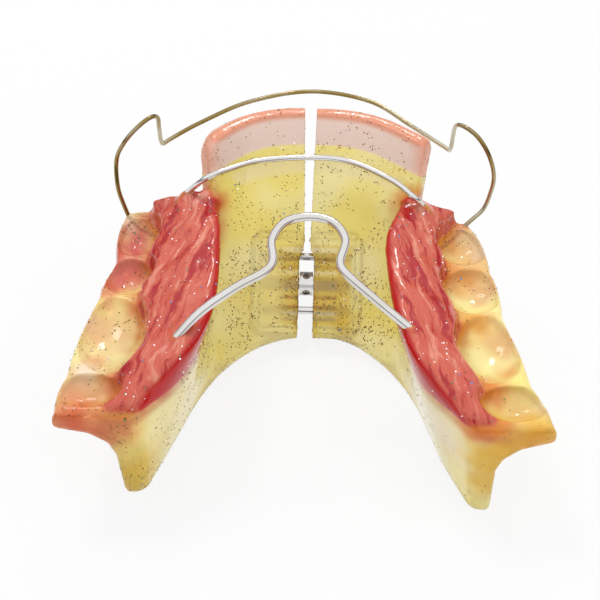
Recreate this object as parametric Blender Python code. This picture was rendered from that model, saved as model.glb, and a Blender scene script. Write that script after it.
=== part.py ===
"""Bionator: a functional jaw appliance in two acrylic halves that an expansion screw drives apart.

It stands on the lower rim of its lingual plate. X runs across the arch, +Y to the lips, +Z up.
Every length is in metres.
"""
import math

import bmesh
import bpy
from mathutils import Matrix, Vector

# Fits
CLEARANCE = 0.0003      # acrylic to a piece that is moulded into it
RUNNING = 0.00008       # pin or spindle to its bore

# Bite blocks
SHELF_HEIGHT = 0.0158
SHELF_EDGE = 0.0034
SHELF_ROUND = 0.0014    # on the upper outer edge
EDGE_ROUND = 0.0007     # on the lower outer edge
END_ROUND = 0.0013      # rounding of the rear end, less than half the flange
ROOF_HEIGHT = 0.0080    # where the underside of the block meets the flange
SCALLOP = 0.0004        # how far the outer edge swells beside each cup
CUP_DEPTH = 0.0021
CUP_LIFT = 0.0015       # the widest level of a cup above the shelf
CUP_OPEN = 0.0002       # how far a cup breaks through the outer edge
CUP_RIDGE = 0.0003
CUP_BITE = 0.0009       # how far a cup reaches into the red pad

# Lingual plate: the wall behind the front teeth and the flange under each bite block
WALL_RISE = 0.0107      # from the bite shelf to the top
WALL_TOP = SHELF_HEIGHT + WALL_RISE
WALL = 0.0030
WALL_ROUND = 0.0006     # on the upright edges of the wall's outer end
FLANGE = 0.0035
FOOT_TAPER = 0.0008     # the flange is this much thinner at its foot
RIM_RISE = 0.0024       # the lower rim lifts this much at the midline
RIM_ROUND = 0.0008
SLOT_TOP = 0.00145
SLOT_FOOT = 0.0002

# Red pads on the palate side
PAD_RISE = 0.0047       # from the bite shelf to the crest
PAD_LIP = 0.0015        # height of the side that the cups cut into
PAD_ROUND = 0.0008
RUGA = 0.00022
RUGA_PITCH = 0.0058

# Pink band along the top of the wall
BAND = 0.0046
BAND_ROUND = 0.0008

# Expansion screw, along X at the foot of the wall
SCREW_RISE = 0.0075     # from the rim up the slope of the wall
SKIN = 0.0005           # acrylic left over the housings
HOUSING_HEIGHT = 0.0110
HOUSING_DEPTH = 0.0036
HOUSING_LENGTH = 0.0054
HOUSING_ROUND = 0.0006
RECESS = 0.0020
RECESS_RISE = 0.0116
RECESS_TAPER = 0.0007
BOSS_ROUND = 0.0008
HEAD = 0.0034
SPINDLE = 0.0017
SPINDLE_LENGTH = 0.0104
KEY_HOLE = 0.0011
PIN = 0.0011
PIN_LENGTH = 0.0110
PIN_SPACING = 0.0075

# Stainless wires
BOW_WIRE = 0.0006
LINGUAL_WIRE = 0.0008
PALATAL_WIRE = 0.0011
WIRE_STEP = 0.0013

# Plan of each half as (x outward, y): three stations along the wall, then seven along the block,
# which lie at its front, its front corner, its ridges and its rear. The corner rounds the wall's
# upper outer end
PLANS = {
    "left": {
        "mirror": -1,
        "corner": 0.0022,
        "wall_foot": [(0.0000, -0.0050), (0.0058, -0.0066), (0.0111, -0.0104)],
        "wall_top": [(0.0000, 0.0155), (0.0077, 0.0139), (0.0134, 0.0086)],
        "rim": [(0.0113, -0.0106), (0.0118, -0.0113), (0.0130, -0.0130), (0.0148, -0.0168),
                (0.0163, -0.0208), (0.0177, -0.0246), (0.0192, -0.0286)],
        "seat": [(0.0130, 0.0003), (0.0127, -0.0012), (0.0121, -0.0044), (0.0118, -0.0126),
                 (0.0128, -0.0187), (0.0150, -0.0239), (0.0186, -0.0282)],
        "crest": [(0.0124, 0.0046), (0.0118, 0.0026), (0.0111, -0.0025), (0.0109, -0.0120),
                  (0.0119, -0.0186), (0.0146, -0.0236), (0.0188, -0.0276)],
        "pad_edge": [(0.0212, 0.0060), (0.0209, 0.0042), (0.0204, -0.0030), (0.0209, -0.0100),
                     (0.0206, -0.0166), (0.0220, -0.0226), (0.0230, -0.0280)],
        "shelf": [(0.0195, 0.0058), (0.0248, 0.0054), (0.0252, -0.0035), (0.0266, -0.0100),
                  (0.0278, -0.0168), (0.0288, -0.0230), (0.0294, -0.0284)],
    },
    "right": {
        "mirror": 1,
        "corner": 0.0007,
        "wall_foot": [(0.0000, -0.0050), (0.0056, -0.0053), (0.0113, -0.0090)],
        "wall_top": [(0.0000, 0.0155), (0.0082, 0.0143), (0.0152, 0.0094)],
        "rim": [(0.0115, -0.0092), (0.0120, -0.0098), (0.0136, -0.0118), (0.0154, -0.0154),
                (0.0167, -0.0192), (0.0183, -0.0242), (0.0208, -0.0299)],
        "seat": [(0.0138, 0.0014), (0.0133, -0.0004), (0.0114, -0.0044), (0.0112, -0.0122),
                 (0.0122, -0.0182), (0.0142, -0.0236), (0.0186, -0.0289)],
        "crest": [(0.0120, 0.0042), (0.0113, 0.0022), (0.0098, -0.0029), (0.0102, -0.0112),
                  (0.0112, -0.0176), (0.0133, -0.0230), (0.0176, -0.0282)],
        "pad_edge": [(0.0200, 0.0055), (0.0187, 0.0036), (0.0177, -0.0034), (0.0186, -0.0118),
                     (0.0194, -0.0174), (0.0208, -0.0232), (0.0222, -0.0284)],
        "shelf": [(0.0185, 0.0052), (0.0222, 0.0050), (0.0242, -0.0034), (0.0251, -0.0115),
                  (0.0263, -0.0173), (0.0276, -0.0228), (0.0296, -0.0286)],
    },
}
WALL_END = 2.03     # past the wall's last station its section drops to the shelf
BEND_STATIONS = 2   # of the wall and of the block, which share the soft bend between them
CREST_SHARES = (0.93, 0.97, 1.0, 1.0, 0.95, 0.78, 0.2)  # pad height along the block
CUP_STATIONS = (1.12, 2.0, 3.0, 5.0, 6.0)               # ridges between the cups

# Wires, as points bent by hand from one end to the other. The third number is the height over the
# bite shelf, in the middle of the lingual arch as a share of the wall's rise
BOW_RISE = 0.0067
BOW_LEFT = [(-0.0180, 0.0022, -0.0028), (-0.0206, 0.0034, -0.0025), (-0.0226, 0.0042, -0.0022),
            (-0.0240, 0.0048, -0.0010), (-0.0249, 0.0054, 0.0012), (-0.0256, 0.0062, 0.0040),
            (-0.0256, 0.0076, 0.0074), (-0.0243, 0.0076, 0.0104), (-0.0225, 0.0086, 0.0122),
            (-0.0210, 0.0101, 0.0126), (-0.0203, 0.0114, 0.0116), (-0.0203, 0.0121, 0.0092),
            (-0.0203, 0.0127, 0.0067), (-0.0201, 0.0134, 0.0055)]
BOW_FRONT = [(-0.0193, 0.0142, 0.0056), (-0.0153, 0.0173, 0.0062), (-0.0086, 0.0217, BOW_RISE),
             (0.0000, 0.0244, BOW_RISE), (0.0083, 0.0225, BOW_RISE), (0.0139, 0.0180, 0.0062),
             (0.0183, 0.0144, 0.0056)]
BOW_RIGHT = [(0.0191, 0.0137, 0.0055), (0.0192, 0.0129, 0.0070), (0.0191, 0.0121, 0.0094),
             (0.0192, 0.0112, 0.0118), (0.0202, 0.0099, 0.0126), (0.0219, 0.0085, 0.0120),
             (0.0235, 0.0075, 0.0098), (0.0245, 0.0072, 0.0066), (0.0243, 0.0066, 0.0041),
             (0.0236, 0.0059, 0.0019), (0.0223, 0.0052, 0.0007), (0.0209, 0.0045, -0.0005),
             (0.0193, 0.0035, -0.0020), (0.0170, 0.0020, -0.0028)]
LINGUAL_LEFT = [(-0.0174, 0.0010, 0.0021), (-0.0174, 0.0034, 0.0029), (-0.0165, 0.0048, 0.0040)]
LINGUAL_FRONT = [(-0.0134, 0.0043, 0.70), (-0.0103, 0.0061, 0.72), (-0.0065, 0.0083, 0.68),
                 (0.0000, 0.0099, 0.63), (0.0054, 0.0089, 0.65), (0.0108, 0.0058, 0.63),
                 (0.0136, 0.0036, 0.55)]
LINGUAL_RIGHT = [(0.0151, 0.0036, 0.0043), (0.0161, 0.0030, 0.0028), (0.0155, 0.0006, 0.0020)]
PALATAL = [(-0.0172, -0.0214, 0.0020), (-0.0154, -0.0204, 0.0039), (-0.0126, -0.0183, 0.0062),
           (-0.0085, -0.0160, 0.0082), (-0.0052, -0.0142, 0.0091), (-0.0042, -0.0125, 0.0094),
           (-0.0044, -0.0093, 0.0098), (-0.0029, -0.0066, 0.0102), (0.0001, -0.0056, 0.0103),
           (0.0030, -0.0064, 0.0102), (0.0045, -0.0090, 0.0098), (0.0039, -0.0125, 0.0093),
           (0.0050, -0.0143, 0.0088), (0.0088, -0.0163, 0.0064), (0.0127, -0.0182, 0.0039),
           (0.0149, -0.0198, 0.0020)]


def clear_scene():
    for obj in list(bpy.data.objects):
        bpy.data.objects.remove(obj, do_unlink=True)


def make_material(name, colour, roughness, metallic=0.0):
    material = bpy.data.materials.new(name)
    material.use_nodes = True
    shader = material.node_tree.nodes["Principled BSDF"]
    shader.inputs["Base Color"].default_value = (*colour, 1.0)
    shader.inputs["Roughness"].default_value = roughness
    shader.inputs["Metallic"].default_value = metallic
    return material


def add_object(name, data, material=None):
    obj = bpy.data.objects.new(name, data)
    bpy.context.collection.objects.link(obj)
    obj.parent = ARCH
    if material is not None:
        data.materials.append(material)
    return obj


def mesh_from(bm, name):
    bmesh.ops.recalc_face_normals(bm, faces=bm.faces)
    mesh = bpy.data.meshes.new(name)
    bm.to_mesh(mesh)
    bm.free()
    mesh.shade_smooth()
    mesh.set_sharp_from_angle(angle=math.radians(35))
    return mesh


def as_tool(obj):
    """Marks a cutter or a former, which is not a piece of the appliance."""
    obj.hide_render = True
    obj.display_type = "WIRE"
    return obj


def apply_boolean(obj, tool, operation):
    modifier = obj.modifiers.new(f"{operation} {tool.name}", "BOOLEAN")
    modifier.operation = operation
    modifier.solver = "EXACT"
    modifier.object = tool


def spline(points, t):
    """The place at t, counted in points, on a smooth curve through the points."""
    last = len(points) - 1
    i = min(max(int(t), 0), last - 1)
    f = t - i
    p1, p2 = points[i], points[i + 1]
    p0 = points[i - 1] if i > 0 else 2 * p1 - p2
    p3 = points[i + 2] if i + 2 <= last else 2 * p2 - p1
    return 0.5 * (2 * p1 + (p2 - p0) * f + (2 * p0 - 5 * p1 + 4 * p2 - p3) * f ** 2
                  + (3 * p1 - p0 - 3 * p2 + p3) * f ** 3)


def number_spline(values, t):
    return spline([Vector((value, 0, 0)) for value in values], t).x


def stations(first, last, count):
    return [first + (last - first) * i / count for i in range(count + 1)]


def loft(name, rings):
    """A closed solid through rings of as many points each."""
    bm = bmesh.new()
    rows = [[bm.verts.new(point) for point in ring] for ring in rings]
    for row, following in zip(rows, rows[1:]):
        for i in range(len(row)):
            j = (i + 1) % len(row)
            bm.faces.new((row[i], row[j], following[j], following[i]))
    bm.faces.new(rows[0])
    bm.faces.new(rows[-1])
    return mesh_from(bm, name)


def eased(rings, first, last, columns):
    """Leads some columns of the rings from first to last in one soft bend."""
    for k in columns:
        start, end = rings[first][k].copy(), rings[last][k].copy()
        steps = [(rings[i + 1][k] - rings[i][k]).length for i in range(first, last)]
        reach = (end - start).length
        leave = (start - rings[first - 1][k]).normalized() * reach
        arrive = (rings[last + 1][k] - end).normalized() * reach
        for i in range(first + 1, last):
            s = sum(steps[:i - first]) / sum(steps)
            rings[i][k] = ((2 * s ** 3 - 3 * s ** 2 + 1) * start + (s ** 3 - 2 * s ** 2 + s) * leave
                           + (3 * s ** 2 - 2 * s ** 3) * end + (s ** 3 - s ** 2) * arrive)


def shrunk_ring(ring, shift, share):
    """A ring moved by shift and drawn in towards its middle, which rounds the end of a loft."""
    middle = sum(ring, Vector()) / len(ring)
    return [middle + (point - middle) * share + shift for point in ring]


class Half:
    """The guide surfaces of one half. x grows outward here, and world() mirrors it."""

    def __init__(self, side):
        self.side = side
        plan = PLANS[side]
        self.mirror = plan["mirror"]
        self.corner = plan["corner"]
        foot_heights = (RIM_RISE, 0.9 * RIM_RISE, 0.4 * RIM_RISE)
        self.wall_foot = [Vector((x, y, z)) for (x, y), z in zip(plan["wall_foot"], foot_heights)]
        self.wall_top = [Vector((x, y, WALL_TOP)) for x, y in plan["wall_top"]]
        self.wall_foot[0].x = SLOT_FOOT / 2
        self.wall_top[0].x = SLOT_TOP / 2
        self.leg = {key: [Vector((x, y, 0)) for x, y in plan[key]]
                    for key in ("rim", "seat", "crest", "pad_edge", "shelf")}

    def world(self, points):
        return [Vector((self.mirror * p.x, p.y, p.z)) for p in points]

    def wall_guide(self, points, t):
        before = Vector((-points[1].x, points[1].y, points[1].z))
        return spline([before] + points, t + 1)

    def wall_inner(self, t, v):
        foot = self.wall_guide(self.wall_foot, t)
        top = self.wall_guide(self.wall_top, t)
        return foot.lerp(top, v)

    def wall_length(self, t):
        return (self.wall_inner(t, 1) - self.wall_inner(t, 0)).length

    def wall_point(self, t, v, depth):
        """A point at share v of the slope, depth inside the acrylic from the tongue side."""
        step = 0.01
        along = self.wall_inner(t + step, v) - self.wall_inner(max(t - step, 0), v)
        if t == 0:
            along = Vector((1, 0, 0))
        normal = (self.wall_inner(t, 1) - self.wall_inner(t, 0)).cross(along).normalized()
        point = self.wall_inner(t, v) + normal * depth
        if t == 0:
            point.x = self.wall_inner(t, v).x
        return point

    def band_foot(self, t):
        return 1 - (BAND + CLEARANCE) / self.wall_length(t)

    def shelf_share(self, t):
        """How far up the slope the wall meets the height of the bite shelf."""
        foot = self.wall_inner(t, 0).z
        return (SHELF_HEIGHT - foot) / (WALL_TOP - foot)

    def wall_ring(self, t, top, spare=0.0, inset=0.0):
        """One section of the wall up to the share top, or of the room that it needs.

        The inset thins what stands above the shelf, which rounds the wall's outer end.
        """
        low = RIM_ROUND / self.wall_length(t)
        inner, outer = -spare, WALL + spare
        shape = [(low, inner), (0.38 * top, inner), (0.7 * top, inner + inset),
                 (top, inner + inset), (top, WALL / 3), (top, 2 * WALL / 3),
                 (top, outer - inset), (0.86 * top, outer - inset), (0.74 * top, outer - inset),
                 (0.62 * top, outer), (0.5 * top, outer), (0.36 * top, outer),
                 (0.2 * top, outer), (low, outer), (0, outer - RIM_ROUND),
                 (0, inner + RIM_ROUND)]
        return [self.wall_point(t, v, depth) for v, depth in shape]

    def wall_stations(self, reach):
        """Stations along the wall, closer over its last stretch, which is reach long."""
        pitch = (self.wall_inner(2, 1) - self.wall_inner(1, 1)).length
        last = 2 - reach / pitch
        ends = [last + (2 - last) * math.sin(math.radians(angle)) for angle in (30, 60, 90)]
        return stations(0, last, 8), ends

    def band_ring(self, t, drop=0.0, inset=0.0):
        length = self.wall_length(t)
        foot = 1 - BAND / length
        top = 1 - drop / length
        high = top - BAND_ROUND / length
        middle = (foot + high) / 2
        inner, outer = inset, WALL - inset
        shape = [(foot, inner), (middle, inner), (high, inner), (top, inner + BAND_ROUND),
                 (top, outer - BAND_ROUND), (high, outer), (middle, outer), (foot, outer)]
        return [self.wall_point(t, v, depth) for v, depth in shape]

    def leg_guide(self, key, t, z):
        point = spline(self.leg[key], t)
        return Vector((point.x, point.y, z))

    def outward(self, t):
        return (self.leg_guide("shelf", t, 0) - self.leg_guide("seat", t, 0)).normalized()

    def leg_inner(self, t, z):
        return self.leg_guide("rim", t, z).lerp(self.leg_guide("seat", t, z), z / SHELF_HEIGHT)

    def bulge(self, t):
        """How far the outer edge swells at t, from 0 at a ridge to 1 beside a cup."""
        for start, end in zip(CUP_STATIONS, CUP_STATIONS[1:]):
            if start < t < end:
                return math.sin(math.pi * (t - start) / (end - start))
        return 0.0

    def leg_ring(self, t, inset=0.0):
        """One section of flange and block, drawn in on all sides by the inset."""
        out = self.outward(t)
        foot = 0.4 * RIM_RISE * max(1 - t / BEND_STATIONS, 0) - RIM_ROUND / 4 + inset
        low = foot + RIM_ROUND
        top = SHELF_HEIGHT - inset
        flange = FLANGE - inset
        inner = [self.leg_inner(t, z) + out * inset
                 for z in (low, SHELF_HEIGHT * 0.35, SHELF_HEIGHT * 0.70, top)]
        seat = inner[-1]
        shelf = self.leg_guide("shelf", t, top) + out * (SCALLOP * self.bulge(t) - inset)
        corner = self.leg_inner(t, ROOF_HEIGHT) + out * flange
        share = 1 - 2 * inset / SHELF_EDGE
        upper, lower = SHELF_ROUND * share, EDGE_ROUND * share
        arc = upper * (1 - math.sqrt(0.5))
        edge_foot = shelf - out * lower - Vector((0, 0, SHELF_EDGE * share))
        roof = []
        for across in (0.55, 0.88):
            point = edge_foot.lerp(corner, across)
            point.z = corner.z + (edge_foot.z - corner.z) * math.sqrt(1 - across ** 2)
            roof.append(point)
        return [
            *inner,
            seat.lerp(shelf, 0.5),
            shelf - out * upper,
            shelf - out * arc - Vector((0, 0, arc)),
            shelf - Vector((0, 0, upper)),
            Vector((shelf.x, shelf.y, edge_foot.z + lower)),
            edge_foot,
            *roof,
            corner,
            self.leg_inner(t, low) + out * (flange - FOOT_TAPER),
            self.leg_inner(t, foot) + out * (flange - FOOT_TAPER - RIM_ROUND / 2),
            self.leg_inner(t, foot) + out * (inset + RIM_ROUND / 2),
        ]

    def pad_ring(self, t):
        """One section of the red pad, from its inner foot over the crest to the cups."""
        floor = SHELF_HEIGHT + CLEARANCE
        share_up = number_spline(CREST_SHARES, t)
        crest_height = floor + (PAD_RISE - CLEARANCE) * share_up
        lip = PAD_LIP * share_up
        foot = self.leg_inner(t, floor)
        crest = self.leg_guide("crest", t, crest_height)
        edge = self.leg_guide("pad_edge", t, floor)
        out = (self.leg_guide("pad_edge", t, 0) - self.leg_guide("crest", t, 0)).normalized()
        brow = crest + out * PAD_ROUND
        side = crest - Vector((0, 0, min(PAD_ROUND, (crest_height - floor) / 2)))
        points = [foot, foot.lerp(side, 0.5), side, brow]
        for share in (0.2, 0.4, 0.6, 0.8):
            point = brow.lerp(edge, share)
            fall = 1 - share ** 1.5
            wave = math.sin(math.tau * (point.y + 0.6 * point.x) / RUGA_PITCH)
            point.z = floor + lip + (crest_height - floor - lip) * fall + RUGA * share_up * wave
            points.append(point)
        return points + [edge + Vector((0, 0, lip)), edge]


def screw_frame():
    """Centre of the screw, the slope of the wall upwards, and the way out to the tongue."""
    half = Half("right")
    foot, top = half.wall_foot[0], half.wall_top[0]
    slope = Vector((0, top.y - foot.y, top.z - foot.z)).normalized()
    tongue = Vector((0, -slope.z, slope.y))
    sunk = SKIN + CLEARANCE + HOUSING_DEPTH / 2
    centre = Vector((0, foot.y, foot.z)) + slope * SCREW_RISE - tongue * sunk
    return centre, slope, tongue


def screw_matrix():
    """Turns (along the spindle, up the slope, out to the tongue) to the world."""
    centre, slope, tongue = screw_frame()
    turn = Matrix((Vector((1, 0, 0)), slope, tongue)).transposed()
    return Matrix.Translation(centre) @ turn.to_4x4()


def screw_box(name, low, high, rounding=0.0):
    """A box in the screw's own axes, with its long edges rounded."""
    bm = bmesh.new()
    bmesh.ops.create_cube(bm, size=1.0)
    size = [b - a for a, b in zip(low, high)]
    middle = Vector([(a + b) / 2 for a, b in zip(low, high)])
    bmesh.ops.scale(bm, vec=size, verts=bm.verts)
    bmesh.ops.translate(bm, vec=middle, verts=bm.verts)
    if rounding:
        bmesh.ops.bevel(bm, geom=bm.edges[:], offset=rounding, segments=2, affect="EDGES")
    bmesh.ops.transform(bm, matrix=screw_matrix(), verts=bm.verts)
    return mesh_from(bm, name)


def rod(name, length, diameter, matrix, sides=16):
    """A round bar along the local X of the matrix."""
    bm = bmesh.new()
    bmesh.ops.create_cone(bm, cap_ends=True, segments=sides, radius1=diameter / 2,
                          radius2=diameter / 2, depth=length)
    bmesh.ops.transform(bm, matrix=matrix @ Matrix.Rotation(math.pi / 2, 4, "Y"), verts=bm.verts)
    return mesh_from(bm, name)


def recess_mesh(name):
    """The window at the screw: the slot widened to a pointed opening through the wall."""
    half_width, half_slot = RECESS / 2, SLOT_TOP / 4
    top = RECESS_RISE - SCREW_RISE
    reach = SCREW_RISE + RIM_RISE + WALL
    outline = [(-half_width, -reach), (half_width, -reach), (half_width, top),
               (half_slot, top + RECESS_TAPER), (-half_slot, top + RECESS_TAPER), (-half_width, top)]
    through = HOUSING_DEPTH + WALL
    rings = [[Vector((x, s, d)) for x, s in outline] for d in (-through, through)]
    mesh = loft(name, rings)
    mesh.transform(screw_matrix())
    return mesh


def make_boss(half):
    """The thickening of the wall that wraps the screw housing."""
    wrap = CLEARANCE + SKIN
    inner = RECESS / 2 - BOSS_ROUND
    outer = RECESS / 2 + HOUSING_LENGTH + wrap + BOSS_ROUND
    depth = HOUSING_DEPTH / 2 + wrap
    rise = HOUSING_HEIGHT / 2 + wrap + BOSS_ROUND
    low = [inner, -rise, -depth]
    high = [outer, rise, depth - SKIN / 2]
    if half.mirror < 0:
        low[0], high[0] = -outer, -inner
    mesh = screw_box(f"{half.side} boss", low, high, BOSS_ROUND)
    return as_tool(add_object(f"{half.side}_boss_former", mesh))


def make_pocket(half):
    reach = RECESS / 2 + HOUSING_LENGTH + CLEARANCE
    low = [0, -HOUSING_HEIGHT / 2 - CLEARANCE, -HOUSING_DEPTH / 2 - CLEARANCE]
    high = [reach, HOUSING_HEIGHT / 2 + CLEARANCE, HOUSING_DEPTH / 2 + CLEARANCE]
    if half.mirror < 0:
        low[0], high[0] = -reach, 0
    return as_tool(add_object(f"{half.side}_pocket_cutter", screw_box("pocket", low, high)))


def make_cups(half):
    """Cutters for the bite of each upper back tooth, one bowl between two ridges."""
    cups = []
    for i, (start, end) in enumerate(zip(CUP_STATIONS, CUP_STATIONS[1:])):
        middle = (start + end) / 2
        inner = half.leg_guide("pad_edge", middle, SHELF_HEIGHT)
        outer = half.leg_guide("shelf", middle, SHELF_HEIGHT)
        across = outer - inner
        inner -= across.normalized() * CUP_BITE
        outer += across.normalized() * (SCALLOP + CUP_OPEN)
        front = half.leg_guide("shelf", start, 0).lerp(half.leg_guide("pad_edge", start, 0), 0.5)
        back = half.leg_guide("shelf", end, 0).lerp(half.leg_guide("pad_edge", end, 0), 0.5)
        height = CUP_DEPTH + CUP_LIFT
        swell = 1 / math.sqrt(1 - (CUP_LIFT / height) ** 2)
        radii = Vector(((outer - inner).length / 2 * swell,
                        ((back - front).length - CUP_RIDGE) / 2 * swell, height))
        bm = bmesh.new()
        bmesh.ops.create_uvsphere(bm, u_segments=24, v_segments=14, radius=1.0)
        bmesh.ops.scale(bm, vec=radii, verts=bm.verts)
        turn = Matrix.Rotation(math.atan2(across.y, across.x), 4, "Z")
        place = Matrix.Translation((inner + outer) / 2 + Vector((0, 0, CUP_LIFT)))
        bmesh.ops.transform(bm, matrix=place @ turn, verts=bm.verts)
        bmesh.ops.scale(bm, vec=(half.mirror, 1, 1), verts=bm.verts)
        cups.append(as_tool(add_object(f"{half.side}_cup_cutter_{i + 1}", mesh_from(bm, "cup"))))
    return cups


def make_floor_cutter():
    """Trims every rim to the plane that the appliance stands on."""
    bm = bmesh.new()
    bmesh.ops.create_cube(bm, size=1.0)
    depth = 0.01
    bmesh.ops.scale(bm, vec=(0.1, 0.1, depth), verts=bm.verts)
    bmesh.ops.translate(bm, vec=(0, 0, -depth / 2), verts=bm.verts)
    return as_tool(add_object("floor_cutter", mesh_from(bm, "floor")))


def over_shelf(points, unit=1.0):
    """Points whose third number counts units over the bite shelf, as places."""
    return [Vector((x, y, SHELF_HEIGHT + rise * unit)) for x, y, rise in points]


def bent_wire(name, path, diameter, material=None):
    """A round wire along a smooth curve through the bending points."""
    curve = bpy.data.curves.new(name, "CURVE")
    curve.dimensions = "3D"
    curve.bevel_depth = diameter / 2
    curve.bevel_resolution = 2
    curve.use_fill_caps = True
    places = []
    for i in range(len(path) - 1):
        count = max(2, round((path[i + 1] - path[i]).length / WIRE_STEP))
        places += [spline(path, i + k / count) for k in range(count)]
    places.append(path[-1])
    line = curve.splines.new("POLY")
    line.points.add(len(places) - 1)
    for point, place in zip(line.points, places):
        point.co = (*place, 1.0)
    return add_object(name, curve, material)


def wire_channel(name, path, diameter):
    """The hole that a wire's tag lies in, a little longer and wider than the wire."""
    start = path[0] + (path[0] - path[1]).normalized() * CLEARANCE
    guide = bent_wire(f"{name} guide", [start] + path[1:], diameter + 2 * CLEARANCE)
    bpy.context.view_layer.update()
    mesh = bpy.data.meshes.new_from_object(guide.evaluated_get(bpy.context.evaluated_depsgraph_get()))
    bpy.data.objects.remove(guide, do_unlink=True)
    bm = bmesh.new()
    bm.from_mesh(mesh)
    bmesh.ops.remove_doubles(bm, verts=bm.verts, dist=CLEARANCE / 100)
    return as_tool(add_object(name, mesh_from(bm, name)))


def make_wall_room(half):
    """The room that the red pad leaves for the wall in front of it."""
    pitch = (half.wall_inner(2, 0.6) - half.wall_inner(1, 0.6)).length
    rings = [half.world(half.wall_ring(t, half.band_foot(t), CLEARANCE))
             for t in stations(1, 2 + CLEARANCE / pitch, 5)]
    return as_tool(add_object(f"{half.side}_wall_room_cutter", loft("room", rings)))


def make_half(half, acrylic, red, pink, floor, channels):
    """The yellow plate, the red pad and the pink band of one half."""
    along, ends = half.wall_stations(WALL_ROUND)
    rings = [half.wall_ring(t, half.band_foot(t)) for t in along]
    for t, angle in zip(ends, (30, 60, 90)):
        inset = WALL_ROUND * (1 - math.cos(math.radians(angle)))
        rings.append(half.wall_ring(t, half.band_foot(t), inset=inset))
    rings.append(half.wall_ring(WALL_END, half.shelf_share(WALL_END)))
    leg = [half.leg_ring(t) for t in stations(0, 6, 30)]
    first = len(along) - round(BEND_STATIONS)
    last = len(rings) + len([t for t in stations(0, 6, 30) if t < BEND_STATIONS])
    rings += leg
    eased(rings, first, last, (0, 1, 2, 15))
    back = (half.leg_guide("seat", 6, 0) - half.leg_guide("seat", 5, 0)).normalized()
    for angle in (30, 60, 90):
        turn = math.radians(angle)
        ring = half.leg_ring(6, END_ROUND * (1 - math.cos(turn)))
        rings.append([point + back * END_ROUND * math.sin(turn) for point in ring])
    plate_mesh = loft("plate", [half.world(ring) for ring in rings])
    plate = add_object(f"{half.side}_plate", plate_mesh, acrylic)
    apply_boolean(plate, make_boss(half), "UNION")
    recess = as_tool(add_object(f"{half.side}_recess_cutter", recess_mesh("recess")))
    cups = make_cups(half)
    for tool in [make_pocket(half), recess, floor] + cups + [channels["bow"]]:
        apply_boolean(plate, tool, "DIFFERENCE")

    rings = [half.pad_ring(t) for t in stations(0, 6, 24)]
    rings.insert(0, shrunk_ring(rings[0], Vector((0, 0.0003, 0)), 0.94))
    rings.insert(0, shrunk_ring(rings[0], Vector((0, 0.0002, 0)), 0.88))
    rings.append(shrunk_ring(rings[-1], Vector((0.0002, -0.0004, 0)), 0.85))
    pad = add_object(f"{half.side}_pad", loft("pad", [half.world(ring) for ring in rings]), red)
    for tool in [make_wall_room(half)] + cups + [channels["lingual"], channels["palatal"]]:
        apply_boolean(pad, tool, "DIFFERENCE")

    along, ends = half.wall_stations(half.corner)
    rings = [half.band_ring(t) for t in along]
    for t, angle in zip(ends, (30, 60, 90)):
        bend = 1 - math.cos(math.radians(angle))
        rings.append(half.band_ring(t, half.corner * bend, WALL_ROUND * bend))
    add_object(f"{half.side}_band", loft("band", [half.world(ring) for ring in rings]), pink)


def make_housing(half, material):
    """One block of the screw, with a bore for the spindle between two for the guide pins."""
    low = [RECESS / 2, -HOUSING_HEIGHT / 2, -HOUSING_DEPTH / 2]
    high = [RECESS / 2 + HOUSING_LENGTH, HOUSING_HEIGHT / 2, HOUSING_DEPTH / 2]
    if half.mirror < 0:
        low[0], high[0] = -high[0], -low[0]
    mesh = screw_box("housing", low, high, HOUSING_ROUND)
    housing = add_object(f"{half.side}_housing", mesh, material)
    for label, offset, diameter in (("spindle", 0, SPINDLE), ("upper", PIN_SPACING / 2, PIN),
                                    ("lower", -PIN_SPACING / 2, PIN)):
        matrix = screw_matrix() @ Matrix.Translation((0, offset, 0))
        reach = 4 * (RECESS + HOUSING_LENGTH)
        mesh = rod("bore", reach, diameter + 2 * RUNNING, matrix)
        bore = as_tool(add_object(f"{half.side}_{label}_bore_cutter", mesh))
        apply_boolean(housing, bore, "DIFFERENCE")


def make_spindle(material):
    """The driving spindle: two threaded shanks and a head with four key holes between them."""
    head_length = RECESS - 2 * RUNNING
    shank = rod("spindle", SPINDLE_LENGTH, SPINDLE, Matrix(), 16)
    spindle = add_object("spindle", shank, material)
    head = as_tool(add_object("head_former", rod("head", head_length, HEAD, Matrix(), 24)))
    tools = [head]
    apply_boolean(spindle, head, "UNION")
    for i in range(2):
        turn = Matrix.Rotation(math.radians(45 + 90 * i), 4, "X")
        hole = rod("key hole", 2 * HEAD, KEY_HOLE, turn @ Matrix.Rotation(math.pi / 2, 4, "Z"), 12)
        tools.append(as_tool(add_object(f"key_hole_cutter_{i + 1}", hole)))
        apply_boolean(spindle, tools[-1], "DIFFERENCE")
    for obj in [spindle] + tools:
        obj.matrix_local = screw_matrix()


def make_pins(material):
    for label, offset in (("upper", PIN_SPACING / 2), ("lower", -PIN_SPACING / 2)):
        pin = add_object(f"{label}_pin", rod("pin", PIN_LENGTH, PIN, Matrix()), material)
        pin.matrix_local = screw_matrix() @ Matrix.Translation((0, offset, 0))


def centre_on_origin():
    """Moves the appliance so that the middle of its footprint is the origin."""
    bpy.context.view_layer.update()
    graph = bpy.context.evaluated_depsgraph_get()
    places = []
    for obj in ARCH.children:
        if not obj.hide_render:
            solid = obj.evaluated_get(graph)
            places += [solid.matrix_world @ vertex.co for vertex in solid.to_mesh().vertices]
            solid.to_mesh_clear()
    for axis in (0, 1):
        values = [place[axis] for place in places]
        ARCH.location[axis] = -(min(values) + max(values)) / 2


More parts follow.
